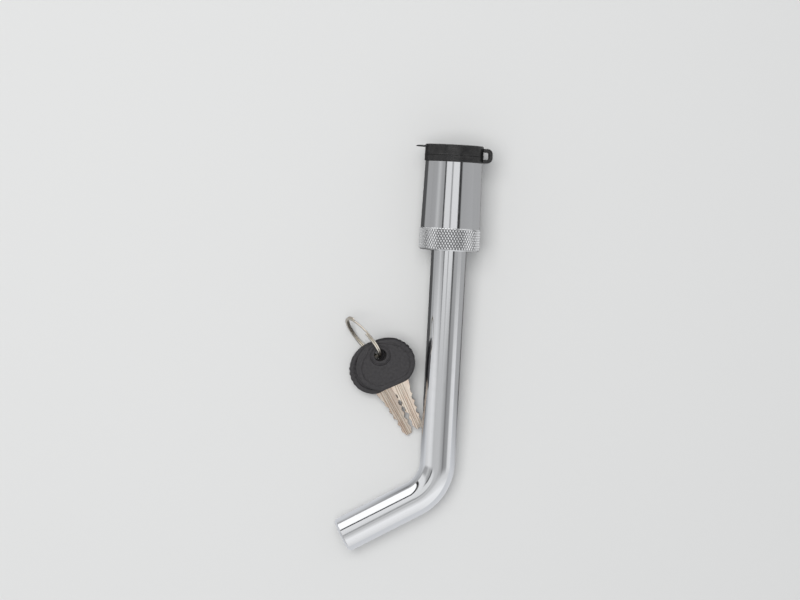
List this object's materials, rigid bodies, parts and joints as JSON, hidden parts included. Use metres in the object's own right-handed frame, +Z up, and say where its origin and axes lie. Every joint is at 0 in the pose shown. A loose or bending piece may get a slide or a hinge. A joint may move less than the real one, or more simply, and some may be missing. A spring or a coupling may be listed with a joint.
{
  "type": "hitch pin lock",
  "caption": "Bent chrome hitch pin with a keyed locking head that slides on over the pin's grooved end, a knurled collar, a hinged rubber dust cap and keys on a split ring.",
  "frame": {"origin": "on the pin's axis, in the middle of its usable straight length between the head's mouth and the bend", "axes": "+Y along the pin's axis towards the lock head, the bent leg lies in the XY plane towards -X and -Y, +Z up from the side the pin lies on"},
  "size_m": [0.0623, 0.1857, 0.0274],
  "materials": {
    "pin_chrome": "bright chrome plating over turned steel",
    "barrel_chrome": "bright chrome plating",
    "collar_chrome": "diamond-knurled chrome plating",
    "seal_rubber": "matt black rubber",
    "cap_rubber": "satin black moulded rubber",
    "bush_bronze": "sintered bronze",
    "inner_steel": "machined steel",
    "jaw_steel": "ground hardened steel",
    "spring_steel": "dark spring steel",
    "plug_brass": "machined brass",
    "shell_zinc": "die-cast zinc",
    "ring_nickel": "bright nickel-plated wire",
    "blade_nickel": "nickel-plated brass",
    "bow_plastic": "fine-textured black plastic"
  },
  "bodies": {
    "pin": {"bent_pin": "pin_chrome"},
    "seal": {"mouth_seal": "seal_rubber"},
    "head": {"lock_barrel": "barrel_chrome", "knurled_collar": "collar_chrome", "guide_bush": "bush_bronze", "jaw_carrier": "inner_steel", "carrier_dowel": "inner_steel", "cylinder_shell": "shell_zinc", "shell_dowel": "inner_steel", "cylinder_circlip": "spring_steel", "cap_band": "cap_rubber", "cap_strap": "cap_rubber"},
    "cap": {"cap_lid": "cap_rubber"},
    "plug": {"key_plug": "plug_brass", "cam_disc": "jaw_steel", "plug_clip": "spring_steel"},
    "wafer_set": {"wafers": "plug_brass", "wafer_springs": "spring_steel"},
    "jaw_right": {"locking_jaw_right": "jaw_steel", "jaw_pin_right": "jaw_steel"},
    "jaw_left": {"locking_jaw_left": "jaw_steel", "jaw_pin_left": "jaw_steel"},
    "ring": {"key_ring": "ring_nickel"},
    "key_front": {"key_blade_front": "blade_nickel", "key_bow_front": "bow_plastic"},
    "key_rear": {"key_blade_rear": "blade_nickel", "key_bow_rear": "bow_plastic"}
  },
  "joints": [
    {"name": "head_slide", "type": "slide", "parent": "pin", "child": "seal", "axis": [0, 1, 0], "range_m": [0, 0.064]},
    {"name": "head_swivel", "type": "hinge", "parent": "seal", "child": "head", "pos_m": [0, 0.0582, 0], "axis": [0, 1, 0], "continuous": true},
    {"name": "cap_hinge", "type": "hinge", "parent": "head", "child": "cap", "pos_m": [0.01625, 0.0912, 0], "axis": [0, 0, -1], "range_deg": [0, 150], "deforming": ["cap_strap"]},
    {"name": "plug_turn", "type": "hinge", "parent": "head", "child": "plug", "pos_m": [0, 0.0712, 0], "axis": [0, 1, 0], "range_deg": [0, 90]},
    {"name": "jaw_right_slide", "type": "slide", "parent": "head", "child": "jaw_right", "axis": [-1, 0, 0], "range_m": [0, 0.002]},
    {"name": "jaw_left_slide", "type": "slide", "parent": "head", "child": "jaw_left", "axis": [1, 0, 0], "range_m": [0, 0.002]},
    {"name": "wafer_slide", "type": "slide", "parent": "plug", "child": "wafer_set", "axis": [0, 0, -1], "range_m": [0, 0.0007], "deforming": ["wafer_springs"]},
    {"name": "keys_drag", "type": "slide", "parent": "pin", "child": "ring", "axis": [-0.9995, -0.0017, -0.031], "range_m": [0, 0.04]},
    {"name": "key_front_swing", "type": "hinge", "parent": "ring", "child": "key_front", "pos_m": [-0.02867, -0.0003, 0.00179], "axis": [-0.0866, 0.1805, -0.9798], "range_deg": [0, 75]},
    {"name": "key_rear_swing", "type": "hinge", "parent": "ring", "child": "key_rear", "pos_m": [-0.03132, -0.00193, -0.00612], "axis": [-0.0319, 0.0488, -0.9983], "range_deg": [0, 75]}
  ],
  "couplings": [
    {"joint": "jaw_right_slide", "follows": "plug_turn", "m_per_rad": 0.0012732},
    {"joint": "jaw_left_slide", "follows": "plug_turn", "m_per_rad": 0.0012732}
  ]
}
